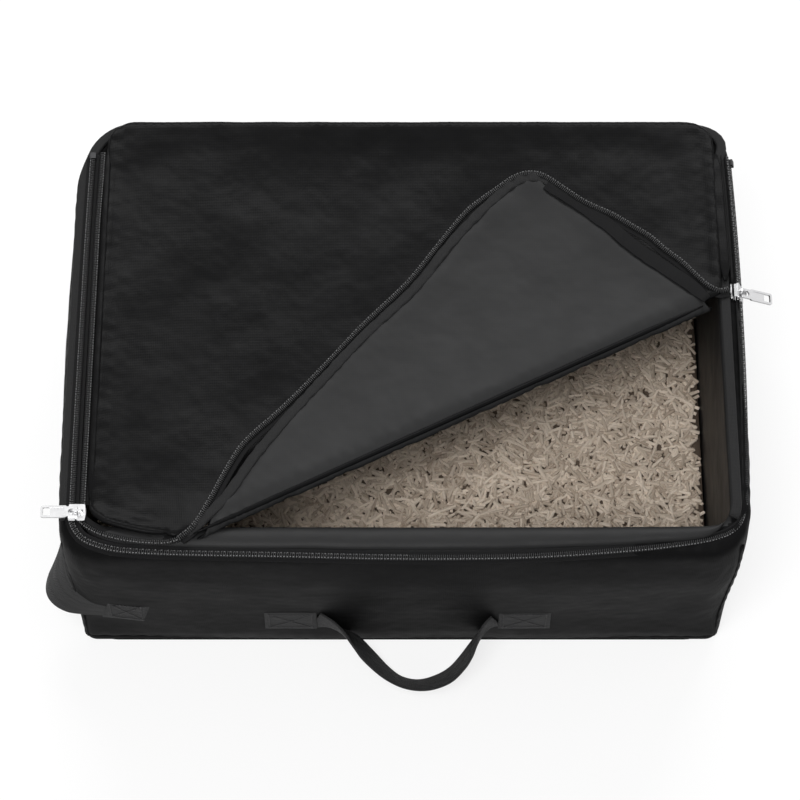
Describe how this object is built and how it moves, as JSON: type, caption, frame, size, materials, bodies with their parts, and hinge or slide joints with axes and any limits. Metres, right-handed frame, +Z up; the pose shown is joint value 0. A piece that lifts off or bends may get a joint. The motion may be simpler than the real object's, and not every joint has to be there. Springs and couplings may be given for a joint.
{
  "type": "foldable litter box",
  "caption": "Low rectangular soft-sided tray with padded walls, a floor of pellets, a zip-on lid with one corner folded back, a front carry handle and a corner tug loop.",
  "frame": {"origin": "centre of the flat bottom, on the face that rests on the floor", "axes": "+X to the right and +Z up as seen from the front; -Y is the front with the carry handle"},
  "size_m": [0.4484, 0.3244, 0.1654],
  "materials": {
    "outer_cloth": "black coated nylon, smooth with a soft sheen",
    "foam": "dark grey foam padding, hidden",
    "coated_lining": "dark grey coated cloth, satin",
    "board": "stiff board, hidden under the floor lining",
    "litter": "dry beige pellets",
    "zip_tape": "black woven tape",
    "zip_coil": "black nylon coil",
    "stop_metal": "bright nickel",
    "binding": "black woven binding",
    "slider_metal": "bright nickel",
    "pull_metal": "bright nickel",
    "webbing": "black woven webbing, fine herringbone"
  },
  "bodies": {
    "base": {"bottom_panel": "outer_cloth", "base_board": "board", "floor_lining": "coated_lining", "front_wall_cover": "outer_cloth", "back_wall_cover": "outer_cloth", "left_wall_cover": "outer_cloth", "right_wall_cover": "outer_cloth", "front_wall_pad": "foam", "back_wall_pad": "foam", "left_wall_pad": "foam", "right_wall_pad": "foam", "wall_lining": "coated_lining", "front_left_seam": "binding", "front_right_seam": "binding", "rear_left_seam": "binding", "rear_right_seam": "binding", "litter_bed": "litter", "handle_left_end": "webbing", "handle_right_end": "webbing", "loop_front_end": "webbing", "loop_side_end": "webbing"},
    "rim": {"rim_band": "binding", "left_wall_tape": "zip_tape", "front_lip": "outer_cloth", "left_wall_coil": "zip_coil", "front_wall_coil": "zip_coil", "right_wall_tape": "zip_tape", "right_wall_coil": "zip_coil", "rear_fold": "binding", "left_end_stop": "stop_metal", "right_end_stop": "stop_metal"},
    "lid": {"lid_lining": "coated_lining", "lid_foam": "foam", "lid_cloth": "outer_cloth", "left_lid_welt": "binding", "left_lid_tape": "zip_tape", "left_lid_coil": "zip_coil", "front_lid_welt": "binding", "front_lid_tape": "zip_tape", "front_lid_coil": "zip_coil", "right_lid_tape": "zip_tape", "right_lid_coil": "zip_coil", "right_lid_welt": "binding", "lid_fold_roll": "binding"},
    "lid_corner": {"corner_cloth": "outer_cloth", "corner_foam": "foam", "corner_lining": "coated_lining", "corner_tape": "zip_tape", "corner_coil": "zip_coil"},
    "left_slider": {"left_slider": "slider_metal"},
    "left_pull": {"left_pull": "pull_metal"},
    "right_slider": {"right_slider": "slider_metal"},
    "right_pull": {"right_pull": "pull_metal"},
    "front_handle": {"handle_loop": "webbing"},
    "corner_loop": {"corner_loop": "webbing"}
  },
  "joints": [
    {"name": "collapse", "type": "slide", "parent": "base", "child": "rim", "axis": [0, 0, -1], "range_m": [0, 0.085], "deforming": ["front_wall_cover", "back_wall_cover", "left_wall_cover", "right_wall_cover", "front_wall_pad", "back_wall_pad", "left_wall_pad", "right_wall_pad", "wall_lining", "front_left_seam", "front_right_seam", "rear_left_seam", "rear_right_seam"]},
    {"name": "lid", "type": "hinge", "parent": "rim", "child": "lid", "pos_m": [0, 0.142, 0.1599], "axis": [1, 0, 0], "range_deg": [-210, 0]},
    {"name": "lid_corner", "type": "hinge", "parent": "lid", "child": "lid_corner", "pos_m": [-0.137, -0.1507, 0.16155], "axis": [-0.895, -0.446, 0], "range_deg": [-175, 0]},
    {"name": "left_slider", "type": "slide", "parent": "rim", "child": "left_slider", "axis": [0, -1, 0], "range_m": [-0.237, 0]},
    {"name": "right_slider", "type": "slide", "parent": "rim", "child": "right_slider", "axis": [0, -1, 0], "range_m": [-0.086, 0.136]},
    {"name": "left_pull", "type": "hinge", "parent": "left_slider", "child": "left_pull", "pos_m": [-0.1895, -0.129, 0.1623], "axis": [0, 1, 0], "range_deg": [0, 160]},
    {"name": "right_pull", "type": "hinge", "parent": "right_slider", "child": "right_pull", "pos_m": [0.20762, 0.022, 0.15402], "axis": [0, -1, 0], "range_deg": [-43, 117]},
    {"name": "front_handle", "type": "hinge", "parent": "base", "child": "front_handle", "pos_m": [0.004, -0.1471, 0.056], "axis": [1, 0, 0], "range_deg": [-125, 0]},
    {"name": "corner_loop", "type": "hinge", "parent": "base", "child": "corner_loop", "pos_m": [-0.1843, -0.1441, 0.063], "axis": [0.492, -0.8706, 0], "range_deg": [-60, 0]}
  ]
}
